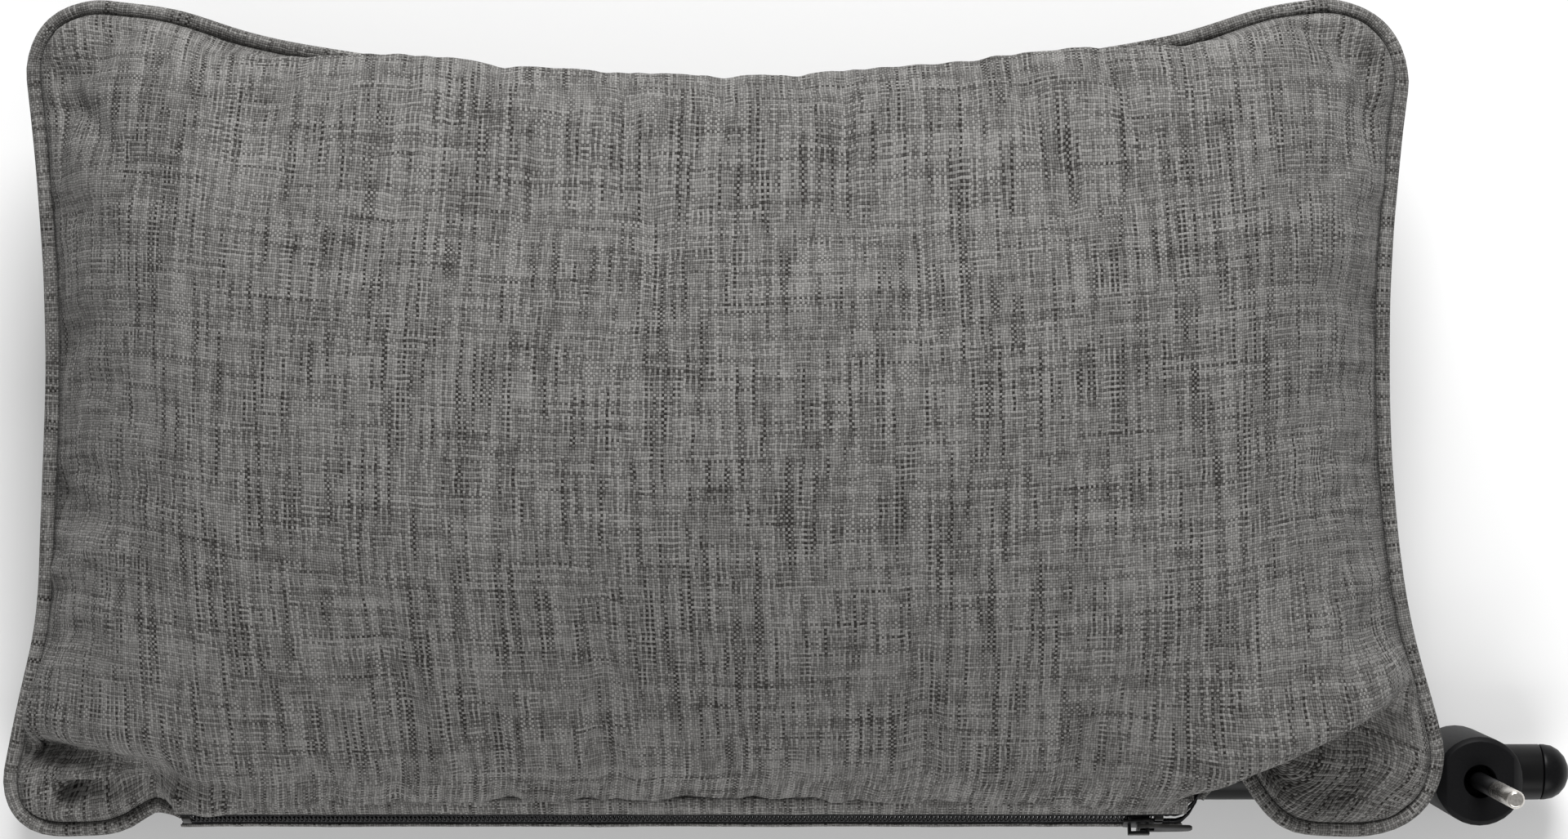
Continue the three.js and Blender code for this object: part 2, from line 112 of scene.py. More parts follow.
place_camera()
lay_floor()
hang_light("key_light", place=(0.12, 1.3, 0.95), size=(0.8, 0.8), power=33)
hang_light("low_fill", place=(0.15, -1.4, 0.9), size=(1.8, 0.8), power=17)
scene.view_settings.view_transform = "Standard"
world = bpy.data.worlds.new("studio")
world.use_nodes = True
world.node_tree.nodes["Background"].inputs["Color"].default_value = (1, 1, 1, 1)
world.node_tree.nodes["Background"].inputs["Strength"].default_value = daylight
scene.world = world


# ----------------------------------------------------------
# The cover cloth: a plain weave of thick slubby yarns in light and dark greys. Each yarn keeps
# its own shade, which drifts along its length. The cloth's UV map is in metres of cloth.
# ----------------------------------------------------------
class Dye:
    """A material in the making, with short ways to add and join its nodes."""

    def __init__(self, name):
        self.material = bpy.data.materials.new(name)
        self.material.use_nodes = True
        self.tree = self.material.node_tree
        self.shader = self.tree.nodes["Principled BSDF"]

    def add(self, kind, settings=None, **inputs):
        node = self.tree.nodes.new("ShaderNode" + kind)
        for key, value in (settings or {}).items():
            setattr(node, key, value)
        for key, value in inputs.items():
            self.join(value, node.inputs[key.replace("_", " ")])
        return node

    def join(self, value, socket):
        if isinstance(value, bpy.types.NodeSocket):
            self.tree.links.new(value, socket)
        else:
            socket.default_value = value

    def sum(self, operation, first, second=0.0, third=0.0):
        node = self.tree.nodes.new("ShaderNodeMath")
        node.operation = operation
        for socket, value in zip(node.inputs, (first, second, third)):
            self.join(value, socket)
        return node.outputs[0]

    def mix(self, share, first, second):
        node = self.tree.nodes.new("ShaderNodeMix")
        node.data_type = "RGBA"
        self.join(share, node.inputs[0])
        self.join(first, node.inputs[6])
        self.join(second, node.inputs[7])
        return node.outputs[2]

    def choose(self, share, first, second):
        node = self.tree.nodes.new("ShaderNodeMix")
        self.join(share, node.inputs[0])
        self.join(first, node.inputs[2])
        self.join(second, node.inputs[3])
        return node.outputs[0]

    def place(self, source, scale=(1, 1, 1)):
        coordinates = self.add("TexCoord").outputs[source]
        return self.add("Mapping", Vector=coordinates, Scale=scale).outputs[0]

    def mottle(self, source, scale, detail, stretch=(1, 1, 1)):
        place = self.place(source, stretch)
        return self.add("TexNoise", Vector=place, Scale=scale, Detail=detail).outputs[0]

    def set(self, socket, value):
        self.shader.inputs[socket].default_value = value

    def finish(self, colour, roughness, height=None, depth=0.0002, strength=1.0):
        self.join(colour, self.shader.inputs["Base Color"])
        self.join(roughness, self.shader.inputs["Roughness"])
        if height is not None:
            bump = self.add("Bump", Height=height, Distance=depth, Strength=strength)
            self.join(bump.outputs[0], self.shader.inputs["Normal"])
        return self.material


def woven_cloth(name, yarn, dark, light, contrast, sheen):
    """yarn is the spacing of the yarns in metres; dark and light are the two ends of its colour,
    which spans the yarns' dyes and the painted shade in the gaps between them.
    The warp is dyed less evenly than the weft, so the streaks along it show more."""
    warp_contrast, weft_contrast = 1.45, 0.75
    dye = Dye(name)
    # Slubs: each yarn is thicker here and thinner there, so the lines are never quite even
    even = dye.place("UV", (1 / yarn,) * 3)
    slub = dye.add("TexNoise", Vector=even, Scale=0.21, Detail=2.0)
    off = dye.add("VectorMath", {"operation": "SUBTRACT"})
    dye.join(slub.outputs[1], off.inputs[0])
    off.inputs[1].default_value = (0.5, 0.5, 0.5)
    uneven = dye.add("VectorMath", {"operation": "MULTIPLY_ADD"})
    for socket, value in zip(uneven.inputs, (off.outputs[0], (1.5, 1.5, 0), even)):
        dye.join(value, socket)
    across = dye.add("SeparateXYZ", Vector=uneven.outputs[0])
    warp_place, weft_place = across.outputs[0], across.outputs[1]
    shades, rounds, numbers = [], [], []
    for place, along, seed, share in (
        (warp_place, weft_place, 3.1, warp_contrast), (weft_place, warp_place, 7.7, weft_contrast),
    ):
        number = dye.sum("FLOOR", place)
        numbers.append(number)
        streaks = []
        for spread, pace, part in ((12.9898, 0.022, 0.66), (4.1414, 0.12, 0.34)):
            at = dye.add("CombineXYZ", X=dye.sum("MULTIPLY", number, spread),
                         Y=dye.sum("MULTIPLY", along, pace), Z=seed)
            streak = dye.add("TexNoise", Vector=at.outputs[0], Scale=1.0, Detail=1.0)
            streaks.append(dye.sum("MULTIPLY", streak.outputs[0], part))
        fibre_at = dye.add("CombineXYZ", X=dye.sum("MULTIPLY", place, 5.0),
                           Y=dye.sum("MULTIPLY", along, 0.9), Z=seed + 2)
        fibre = dye.add("TexNoise", Vector=fibre_at.outputs[0], Scale=1.0, Detail=2.0)
        blend = dye.sum("SUBTRACT", dye.sum("ADD", *streaks), 0.5)
        shade = dye.sum("MULTIPLY_ADD", blend, contrast * share, 0.5)
        shade = dye.sum("MULTIPLY_ADD", dye.sum("SUBTRACT", fibre.outputs[0], 0.5), 0.5, shade)
        shades.append(shade)
        centred = dye.sum("MULTIPLY_ADD", dye.sum("FRACT", place), 2.0, -1.0)
        rounds.append(dye.sum("SUBTRACT", 1.0, dye.sum("MULTIPLY", centred, centred)))
    parity = dye.sum("FLOORED_MODULO", dye.sum("ADD", numbers[0], numbers[1]), 2.0)
    warp_up = dye.sum("GREATER_THAN", parity, 0.5)
    # A yarn on top is round across its width, and dips under its neighbours at its float's ends
    floats = [dye.sum("MULTIPLY", dye.sum("SQRT", rounds[own]),
                      dye.sum("MULTIPLY_ADD", rounds[1 - own], 0.55, 0.45)) for own in (0, 1)]
    height = dye.choose(warp_up, floats[1], floats[0])
    shade = dye.choose(warp_up, shades[1], shades[0])
    # Where a yarn dips under its neighbours its colour is darkened: painted shade in the gaps
    # between the yarns, added to the yarn's own dye.
    painted_gap_shade = dye.sum("MULTIPLY_ADD", dye.sum("MINIMUM", height, 0.7), 1.0, -0.6)
    cloudy = dye.mottle("UV", 14.0, 2.0)
    tone_with_painted_shade = dye.sum("MULTIPLY_ADD", dye.sum("SUBTRACT", cloudy, 0.5), 0.07,
                      dye.sum("ADD", shade, painted_gap_shade))
    fuzz = dye.mottle("UV", 5200.0, 2.0)
    colour = dye.mix(dye.add("Clamp", Value=tone_with_painted_shade).outputs[0], (*dark, 1), (*light, 1))
    rough_height = dye.sum("MULTIPLY_ADD", fuzz, 0.25, height)
    dye.set("Sheen Weight", sheen)
    dye.set("Sheen Roughness", 0.6)
    dye.set("Specular IOR Level", 0.2)
    return dye.finish(colour, 0.93, rough_height, 0.3 * yarn, 0.8)


cover_cloth = woven_cloth(
    "cover_cloth", yarn=0.7 * MM, dark=(0.016, 0.0142, 0.0124), light=(0.25, 0.245, 0.236),
    contrast=3.2, sheen=0.05,
)


# ----------------------------------------------------------
# The cover: a front and a back panel cut to one outline and sewn round the edge, stuffed until
# they crown. The seam is held in its outline while cloth simulation fills the panels out. Then
# come the tucks and creases of a stuffed corner, and the channel that the zip lies in.
# ----------------------------------------------------------
piping_radius = (piping_high.z - piping_low.z) / 2
bottom_half = (piping_high.x - piping_low.x) / 2
top_half = bottom_half - 7.5 * MM
half_height = (piping_high.y - piping_low.y) / 2
corner_reaches = (17 * MM, 24 * MM, 23 * MM, 20 * MM)
least_corner_reach = 8 * MM
side_dip, top_dip, bottom_dip = 9 * MM, 22 * MM, 3.7 * MM
corner_hang, seam_sway = 5 * MM, 1.5 * MM
front_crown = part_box("front_panel")[1][2] - seam_level
back_crown = seam_level + 5 * MM
zip_front = [Vector(corner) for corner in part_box("zip_tape_front")]
zip_back = [Vector(corner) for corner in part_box("zip_tape_back")]
zip_ends = (zip_front[0].x, zip_front[1].x)


def bend(start, middle, end, share):
    """A point on the quadratic curve from start to end that leans towards middle."""
    return start.lerp(middle, share).lerp(middle.lerp(end, share), share)


def seam_edges(inset):
    """The bottom, right, top and left edges of the seam, anticlockwise, each from the middle of
    one rounded corner to the middle of the next. Each edge is a list of points."""
    height = half_height - inset
    corners = [
        Vector((inset - bottom_half, -height)), Vector((bottom_half - inset, -height)),
        Vector((top_half - inset, height)), Vector((inset - top_half, height)),
    ]
    edges = []
    for index, dip in enumerate((bottom_dip, side_dip, top_dip, side_dip)):
        start, end = corners[index], corners[(index + 1) % 4]
        before, after = corners[index - 1], corners[(index + 2) % 4]
        ahead = (end - start).normalized()
        inwards = Vector((-ahead.y, ahead.x))
        near, far = (max(corner_reaches[corner % 4] - inset, least_corner_reach)
                     for corner in (index, index + 1))
        leave, arrive = start + ahead * near, end - ahead * far
        middle = (leave + arrive) / 2 + inwards * 2 * dip
        from_before = start + (before - start).normalized() * near
        to_after = end + (after - end).normalized() * far
        points = [bend(from_before, start, leave, 0.5 + 0.05 * step) for step in range(10)]
        points += [bend(leave, middle, arrive, step / 60) for step in range(60)]
        points += [bend(arrive, end, to_after, 0.05 * step) for step in range(11)]
        edges.append(points)
    return edges


def lengths_along(line):
    """The length along a line of points, at each of them."""
    lengths = [0.0]
    for before, after in zip(line, line[1:]):
        lengths.append(lengths[-1] + (after - before).length)
    return lengths


def even_points(points, count):
    """count + 1 points evenly spaced along a line of points."""
    lengths = lengths_along(points)
    result, index = [], 0
    for step in range(count + 1):
        target = lengths[-1] * step / count
        while index < len(points) - 2 and lengths[index + 1] < target:
            index += 1
        span = lengths[index + 1] - lengths[index]
        result.append(points[index].lerp(points[index + 1], (target - lengths[index]) / span))
    return result


def bell(distance, width):
    return math.exp(-(distance / width) ** 2)


def soft_step(value, low, high):
    share = min(1.0, max(0.0, (value - low) / (high - low)))
    return share * share * (3 - 2 * share)


def rise_and_fall(value, low, high, top_end, end):
    """0 up to low, 1 from high to top_end, and 0 again from end on."""
    return soft_step(value, low, high) * (1 - soft_step(value, top_end, end))


def seam_place(point):
    """Where a point of the flat outline lies once the cover is stuffed: its left side stands out
    a little except low down, the bottom right corner and the two top corners spread, and all
    four corners hang."""
    place = Vector((point.x, point.y, seam_level))
    left_spread = 1.8 - 2.0 * bell(point.y + 56 * MM, 22 * MM)
    place.x -= MM * left_spread * soft_step(-point.x, 150 * MM, 185 * MM)
    if point.x > 0:
        right_spread = 3.6 * MM * soft_step(point.x, 150 * MM, 190 * MM)
        place.x += right_spread * bell(point.y + 92 * MM, 26 * MM)
    if point.y > 0:
        place.y += 2.3 * MM * bell(abs(point.x) - 153 * MM, 17 * MM)
    corner = soft_step(abs(point.x) / bottom_half, 0.72, 1.0)
    corner *= soft_step(abs(point.y) / half_height, 0.5, 1.0)
    place.z -= corner_hang * corner
    place.z += seam_sway * noise.noise(Vector((point.x * 18, point.y * 18, 2.0)))
    return place


def tuck(x):
    """How far the bottom edge is drawn up past the zip's two ends."""
    right_tuck = bell(x - 142 * MM, (9 if x < 142 * MM else 10.5) * MM)
    left_tuck = bell(x + 157 * MM, 8 * MM)
    return Vector((0, 19 * right_tuck + 6 * left_tuck, -4 * right_tuck - 2 * left_tuck)) * MM


class Panels:
    """The closed form of a pillow: front and back grids that share a seam. The UV map measures
    the cloth from each panel's middle. Two vertex attributes say where a point is on the grid,
    and where it lay before the stuffing."""

    def __init__(self, name, inset, fullness, columns, rows):
        self.columns, self.rows = columns, rows
        self.fullness = fullness
        edges = seam_edges(inset)
        self.bottom = [seam_place(p) for p in even_points(edges[0], columns)]
        self.right = [seam_place(p) for p in even_points(edges[1], rows)]
        self.top = [seam_place(p) for p in even_points(edges[2], columns)][::-1]
        self.left = [seam_place(p) for p in even_points(edges[3], rows)][::-1]
        self.sew(name)
        self.bottom = [self.place(column, 0, 1) for column in range(columns + 1)]

    def place(self, column, row, side):
        """The seam's edges blended inwards, and lifted to the crown."""
        s, t = column / self.columns, row / self.rows
        across = self.left[row].lerp(self.right[row], s)
        along = self.bottom[column].lerp(self.top[column], t)
        low, high = self.bottom[0].lerp(self.bottom[-1], s), self.top[0].lerp(self.top[-1], s)
        place = across + along - low.lerp(high, t)
        u, v = 2 * s - 1, 2 * t - 1
        share = ((1 - abs(u) ** 2.6) * (1 - abs(v) ** 2.2)) ** 0.56
        place.z += side * self.fullness * (front_crown if side > 0 else back_crown) * share
        return place + tuck(self.bottom[column].x) * (1 - soft_step(t, 0, 0.08))

    def sew(self, name):
        columns, rows = self.columns, self.rows
        points, grid_places, number = [], [], {}
        for side in (1, -1):
            for row in range(rows + 1):
                for column in range(columns + 1):
                    on_seam = row in (0, rows) or column in (0, columns)
                    if on_seam and side < 0:
                        number[side, row, column] = number[1, row, column]
                        continue
                    number[side, row, column] = len(points)
                    points.append(self.place(column, row, side))
                    level = 0 if on_seam else side
                    grid_places.append((2 * column / columns - 1, 2 * row / rows - 1, level))
        faces, cloth = [], []
        for side in (1, -1):
            grid = [[points[number[side, row, column]] for column in range(columns + 1)]
                    for row in range(rows + 1)]
            warp = [measured(line) for line in grid]
            weft = [measured(line) for line in zip(*grid)]
            for row in range(rows):
                for column in range(columns):
                    ring = [(row, column), (row, column + 1),
                            (row + 1, column + 1), (row + 1, column)]
                    if side < 0:
                        ring.reverse()
                    faces.append([number[side, r, c] for r, c in ring])
                    cloth.append([(warp[r][c] + side, weft[c][r]) for r, c in ring])
        mesh = new_cloth_mesh(name, points, faces, cloth)
        for layer_name, places in (("grid", grid_places), ("laid", points)):
            layer = mesh.attributes.new(layer_name, "FLOAT_VECTOR", "POINT")
            layer.data.foreach_set("vector", [value for place in places for value in place])
        self.seam = {index for index, place in enumerate(grid_places) if place[2] == 0}
        crease = mesh.attributes.new("crease_edge", "FLOAT", "EDGE")
        for edge in mesh.edges:
            if edge.vertices[0] in self.seam and edge.vertices[1] in self.seam:
                crease.data[edge.index].value = 1.0
        self.piece = put_in_scene(name, mesh)


def new_cloth_mesh(name, points, faces, cloth):
    """A mesh with a UV map, given as one list of (along, across) pairs for each face."""
    mesh = bpy.data.meshes.new(name)
    mesh.from_pydata(points, [], faces)
    layer = mesh.uv_layers.new(name="cloth")
    layer.data.foreach_set("uv", [value for corners in cloth for pair in corners for value in pair])
    mesh.shade_smooth()
    return mesh


def measured(line):
    """The length along a line at each of its points, from the line's middle."""
    lengths = lengths_along(line)
    middle = lengths[len(lengths) // 2]
    return [length - middle for length in lengths]


def stuff(cover, seam):
    """Fills the cover out under pressure, with the seam held and some cloth to spare."""
    frames, most = 20, 22 * MM
    held = cover.vertex_groups.new(name="seam")
    held.add(list(seam), 1.0, "REPLACE")
    start = [v.co.copy() for v in cover.data.vertices]
    modifier = cover.modifiers.new("stuffing", "CLOTH")
    cloth = modifier.settings
    cloth.quality = 5
    cloth.mass = 0.25
    cloth.tension_stiffness = cloth.compression_stiffness = 22
    cloth.shear_stiffness = 7
    cloth.bending_stiffness = 0.6
    cloth.tension_damping = cloth.compression_damping = 8
    cloth.air_damping = 2.0
    cloth.vertex_group_mass = "seam"
    cloth.shrink_min = -0.035
    cloth.use_pressure = True
    cloth.uniform_pressure_force = 30
    cloth.effector_weights.gravity = 0
    modifier.point_cache.frame_end = frames
    for step in range(1, frames + 1):
        scene.frame_set(step)
    filled = cover.evaluated_get(bpy.context.evaluated_depsgraph_get()).data
    ends = [v.co.copy() for v in filled.vertices]
    for vertex, before, after in zip(cover.data.vertices, start, ends):
        move = after - before
        vertex.co = before + move * min(1.0, most / max(move.length, 1e-9))
    cover.modifiers.remove(modifier)
    cover.vertex_groups.remove(held)
    scene.frame_set(1)


def keep_shape(piece):
    """Applies every modifier on a piece by swapping its mesh for the finished one."""
    graph = bpy.context.evaluated_depsgraph_get()
    graph.update()
    mesh = bpy.data.meshes.new_from_object(piece.evaluated_get(graph))
    piece.modifiers.clear()
    piece.data = mesh
    mesh.shade_smooth()


def read_table(table, value):
    """A straight-line reading of a table of (place, value) pairs."""
    if value <= table[0][0]:
        return table[0][1]
    for (low, first), (high, second) in zip(table, table[1:]):
        if value <= high:
            return first + (second - first) * (value - low) / (high - low)
    return table[-1][1]


# The bottom right corner is slack: the body of the pillow folds over it in a round lip that runs
# from the zip's end up to the side seam, and the corner shows below as a flat flap. The tables
# give the cloth's move down across the lip and its lift, in millimetres, by its distance above the
# lip's line or, for the flap, by its share of the way down to the seam.
lip_start = Vector((134 * MM, -103 * MM))
lip_end = Vector((183 * MM, -79 * MM))
lip_run = lip_end - lip_start
lip_ahead = lip_run.normalized()
lip_down = Vector((lip_ahead.y, -lip_ahead.x))
lip_shift = [(-40, 0), (-26, 2.5), (-16, 6.5), (-10, 8.0), (-6, 6.0), (-3, 2.0), (0, -4.0)]
lip_lift = [(-40, 0), (-26, 2.5), (-16, 6.0), (-10, 5.5), (-6, 2.0), (-3, -3.0), (0, -7.5)]
flap_shift = [(0.0, -4.0), (0.15, -6.5), (0.35, -7.0), (0.6, -3.5), (0.85, -0.5), (1.0, 0.0)]
flap_lift = [(0.0, -7.5), (0.15, -11.5), (0.35, -12.5), (0.6, -7.5), (0.85, -2.5), (1.0, 0.0)]


def seam_below_lip():
    """How far the seam lies below the lip's line, as a table by share of the lip's run."""
    table = []
    for point in panels.bottom[len(panels.bottom) // 2:] + panels.right[:len(panels.right) // 2]:
        reach = Vector((point.x, point.y)) - lip_start
        table.append((reach.dot(lip_ahead) / lip_run.length, reach.dot(lip_down)))
    return sorted(table)


def fold_corner(place, laid, grid):
    """Folds the front panel over the bottom right corner, from the tables above."""
    reach = Vector((laid.x, laid.y)) - lip_start
    share, below = reach.dot(lip_ahead) / lip_run.length, reach.dot(lip_down)
    if not -0.6 < share < 1.5 or below < -45 * MM:
        return place
    strength = rise_and_fall(share, -0.3, 0.1, 0.78, 1.25)
    seam_gap = min((1 + grid.y) * half_height, (1 - grid.x) * bottom_half)
    strength *= soft_step(seam_gap, 0, 7 * MM)
    if below <= 0:
        shift, lift = read_table(lip_shift, below / MM), read_table(lip_lift, below / MM)
    else:
        part = min(1.0, below / max(read_table(below_seam, share), 2 * MM))
        shift, lift = read_table(flap_shift, part), read_table(flap_lift, part)
    move = lip_down * shift * MM * strength
    place = place + Vector((move.x, move.y, lift * MM * strength))
    if below < 3 * MM:
        # Nothing of the body stands out past the lip's line
        soft = 4 * MM
        out = (Vector((place.x, place.y)) - lip_start).dot(lip_down) + soft
        if out > 0:
            back = (out - soft * math.tanh(out / soft)) * soft_step(seam_gap, 0, 7 * MM)
            back *= rise_and_fall(share, -0.25, 0.0, 0.85, 1.2)
            place -= Vector((lip_down.x, lip_down.y, 0)) * back
    return place


# Creases and puckers: start, end, half width and depth, in millimetres. A ridge has less than
# no depth.
creases = [
    ((-186, -19), (-158, -30), 5.0, 3.2), ((-185, -43), (-163, -31), 4.0, -2.0),
    ((-183, 22), (-160, 30), 6.0, 1.6), ((-192, -92), (-152, -97), 3.4, 7.5),
    ((-182, -103), (-134, -99.5), 2.8, 7.0), ((-185, -97.5), (-163, -100.5), 3.0, -3.0),
    ((-190, -82), (-150, -86), 6.0, -2.5),
    ((-178, 84), (-150, 60), 6.0, 2.5), ((-184, 96), (-170, 78), 3.5, 2.2),
    ((178, -58), (154, -76), 7.0, 3.0), ((188, -84), (166, -98), 2.4, 2.2),
    ((188, -86), (182, -104), 2.6, 1.8), ((184, 84), (158, 60), 6.0, 2.4),
    ((182, 98), (172, 80), 3.2, 2.0), ((188, -12), (168, -20), 5.0, 1.6),
    ((187, 30), (170, 34), 5.0, 1.2),
]


def crease_cloth(place, outwards, side):
    """Presses the creases into the front panel, each shallower towards its far end."""
    if side <= 0 or abs(place.x) < 100 * MM:
        return place
    flat = Vector((place.x, place.y))
    depth = 0.0
    for start, end, width, deep in creases:
        start, run = Vector(start) * MM, (Vector(end) - Vector(start)) * MM
        share = (flat - start).dot(run) / run.length_squared
        across = (flat - start - run * min(1.0, max(0.0, share))).length
        taper = 1 - 0.6 * min(1.0, max(0.0, share))
        depth += deep * MM * taper * bell(across, width * MM)
    return place - outwards * depth


def pucker(place, outwards, grid):
    """Small gathers along the seam, where the stitching draws the cloth in."""
    to_side, to_edge = (1 - abs(grid.x)) * bottom_half, (1 - abs(grid.y)) * half_height
    near = min(to_side, to_edge)
    if near > 30 * MM:
        return place
    along = place.y if to_side < to_edge else place.x
    ripple = noise.noise(Vector((along * 75, grid.z * 3, 1.0))) + 0.6 * noise.noise(
        Vector((along * 170, grid.z * 3, 4.0)))
    rise = rise_and_fall(near, 0.0, 5 * MM, 6 * MM, 28 * MM)
    top_middle = grid.y > 0.8 and abs(grid.x) < 0.8
    depth = (0.15 if top_middle else 1.3) * MM
    return place + outwards * ripple * rise * depth


def lean_over(place, grid):
    """Along the middle of the top edge the stuffed front stands out over the piping, and along
    the zip it stands out over the hem."""
    hem_lean, top_lean = Vector((0, -3.6, -1.0)) * MM, Vector((0, 13.5, 2.5)) * MM
    hem_gap = (1 + grid.y) * half_height
    low = rise_and_fall(hem_gap, 1 * MM, 8 * MM, 14 * MM, 50 * MM)
    low *= rise_and_fall(place.x, zip_ends[0] - 8 * MM, zip_ends[0] + 14 * MM,
                         zip_ends[1] - 18 * MM, zip_ends[1])
    top_gap = (1 - grid.y) * half_height
    high = rise_and_fall(top_gap, 0, 8 * MM, 12 * MM, 50 * MM)
    high *= 1 - soft_step(abs(grid.x - 0.03), 0.42, 0.9)
    return place + hem_lean * low + top_lean * high


bar_low, bar_high = (Vector(corner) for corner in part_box("bar_tube"))
bar_radius = (bar_high.z - bar_low.z) / 2
bar_y, bar_z = (bar_low.y + bar_high.y) / 2, (bar_low.z + bar_high.z) / 2


def settle(place):
    """Keeps a point of the back off the table and the bar."""
    floor, spring = 0.4 * MM, 3 * MM
    if place.z < floor + spring:
        place.z = floor + max(0.0, place.z - floor) * 0.3
    from_bar = Vector((place.y - bar_y, place.z - bar_z))
    clear = bar_radius + 3.2 * MM
    if from_bar.length < clear:
        from_bar = from_bar.normalized() * clear
        place.y, place.z = bar_y + from_bar.x, bar_z + from_bar.y
    return place


pull_joint = next(j for j in frame["record"]["behaviour"]["joints"] if j["name"] == "pull_turn")
zip_up = -Vector(pull_joint["axis"]).normalized()
zip_out = Vector((1, 0, 0)).cross(zip_up)
zip_mid = (zip_front[0] + zip_front[1] + zip_back[0] + zip_back[1]) / 4
zip_mid.x = 0.0


def make_room_for_zip(place):
    """The cloth goes behind the zip in a shallow channel that runs out gently at its ends."""
    channel_depth, channel_run_out = 3.2 * MM, 5 * MM
    local = place - zip_mid
    up, out = local.dot(zip_up), local.dot(zip_out)
    along = rise_and_fall(place.x, zip_ends[0] - channel_run_out, zip_ends[0],
                          zip_ends[1], zip_ends[1] + channel_run_out)
    inside = along * (1 - soft_step(abs(up), 4.4 * MM, 6.4 * MM))
    target = -channel_depth * inside + (1 - inside) * out
    if inside > 0 and out > target:
        place += zip_out * (target - out)
    return place


seam_inset = 2 * piping_radius - 0.5 * MM
crown_spare = 2 * MM
panels = Panels("cover", seam_inset, fullness=0.9, columns=124, rows=74)
cover = panels.piece
stuff(cover, panels.seam)
highest = max(vertex.co.z for vertex in cover.data.vertices) - seam_level
press = min(1.0, (front_crown + crown_spare) / highest)
for vertex in cover.data.vertices:
    if vertex.co.z > seam_level:
        vertex.co.z = seam_level + (vertex.co.z - seam_level) * press
below_seam = seam_below_lip()
rounding = cover.modifiers.new("rounding", "SUBSURF")
rounding.levels = rounding.render_levels = 1
keep_shape(cover)
grid_places, laid_places = (
    [Vector(item.vector) for item in cover.data.attributes[layer].data]
    for layer in ("grid", "laid")
)
normals = [Vector(v.normal) for v in cover.data.vertices]
for vertex, grid, laid, outwards in zip(cover.data.vertices, grid_places, laid_places, normals):
    place = pucker(vertex.co.copy(), outwards, grid)
    place = crease_cloth(place, outwards, grid.z)
    if grid.z > 0:
        place = fold_corner(lean_over(place, grid), laid, grid)
    vertex.co = make_room_for_zip(settle(place))
cover.data.materials.append(cover_cloth)
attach(cover, "cushion")
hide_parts("front_panel", "back_panel")


# ----------------------------------------------------------
# The inner pillow: white fibre in a nonwoven casing, a little smaller than the cover and out of
# sight inside it.
# ----------------------------------------------------------
def soft_white(name, dark, light, grain):
    """Undyed fibre, felted or spun, that is faintly mottled."""
    dye = Dye(name)
    felt = dye.mottle("Object", grain, 3.0)
    colour = dye.mix(felt, (*dark, 1), (*light, 1))
    return dye.finish(colour, 0.95, felt, 0.15 * MM)


calico_dark, calico_light = (0.70, 0.69, 0.66), (0.86, 0.85, 0.83)
for name, inset, fullness, slot, nodes, dyes in (
    ("inner_casing", 30 * MM, 0.68, "casing_cloth", ("inner_casing_front", "inner_casing_back"),
     (calico_dark, calico_light, 900.0)),
    ("fibre_filling", 34 * MM, 0.6, "fibre_filling", ("filling",),
     ((0.82, 0.81, 0.79), (0.95, 0.95, 0.94), 160.0)),
):
    inner = Panels(name, inset, fullness, columns=60, rows=36).piece
    lowest = (inset - 18 * MM) * 0.5
    for vertex in inner.data.vertices:
        vertex.co.z = max(vertex.co.z, lowest)
    inner.data.materials.append(soft_white(f"{name}_cloth", *dyes))
    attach(inner, "cushion")
    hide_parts(*nodes)


# ----------------------------------------------------------
# The piping: the cover's own cloth sewn over a cord and caught in the seam. It runs from one end
# of the zip round the pillow to the other, and its ends turn in under the front panel.
# ----------------------------------------------------------
def sweep(name, line, section, material, upright=Vector((0, 0, 1)), closed=False):
    """A tube along a line. section gives its points as (sideways, up) pairs, and the UV map
    measures cloth along and around it."""
    count, around = len(line), len(section)
    points, lengths = [], lengths_along(line + line[:1])
    for index, place in enumerate(line):
        before = line[index - 1] if index or closed else place
        after = line[(index + 1) % count] if index < count - 1 or closed else place
        ahead = (after - before).normalized()
        sideways = ahead.cross(upright).normalized()
        up = sideways.cross(ahead)
        points += [place + sideways * x + up * y for x, y in section]
    girth = [0.0]
    for corner in range(around):
        step = Vector(section[(corner + 1) % around]) - Vector(section[corner])
        girth.append(girth[-1] + step.length)
    faces, cloth = [], []
    for index in range(count - (0 if closed else 1)):
        ahead_index = (index + 1) % count
        far = lengths[index + 1]
        for corner in range(around):
            nearby = (corner + 1) % around
            faces.append([index * around + corner, index * around + nearby,
                          ahead_index * around + nearby, ahead_index * around + corner])
            cloth.append(((lengths[index], girth[corner]), (lengths[index], girth[corner + 1]),
                          (far, girth[corner + 1]), (far, girth[corner])))
    if not closed:
        faces.append(list(range(around))[::-1])
        cloth.append([(0, 0)] * around)
        faces.append([(count - 1) * around + corner for corner in range(around)])
        cloth.append([(0, 0)] * around)
    mesh = new_cloth_mesh(name, points, faces, cloth)
    tidy_normals(mesh)
    mesh.materials.append(material)
    return put_in_scene(name, mesh)


def tidy_normals(mesh):
    form = bmesh.new()
    form.from_mesh(mesh)
    bmesh.ops.recalc_face_normals(form, faces=form.faces)
    form.to_mesh(mesh)
    form.free()


def ring_section(radius, sides):
    turns = [2 * math.pi * step / sides for step in range(sides)]
    return [(radius * math.cos(turn), radius * math.sin(turn)) for turn in turns]


piping_steps, piping_taper = 620, 9 * MM
seam_loop = panels.bottom[:-1] + panels.right[:-1] + panels.top[:0:-1] + panels.left[:0:-1]


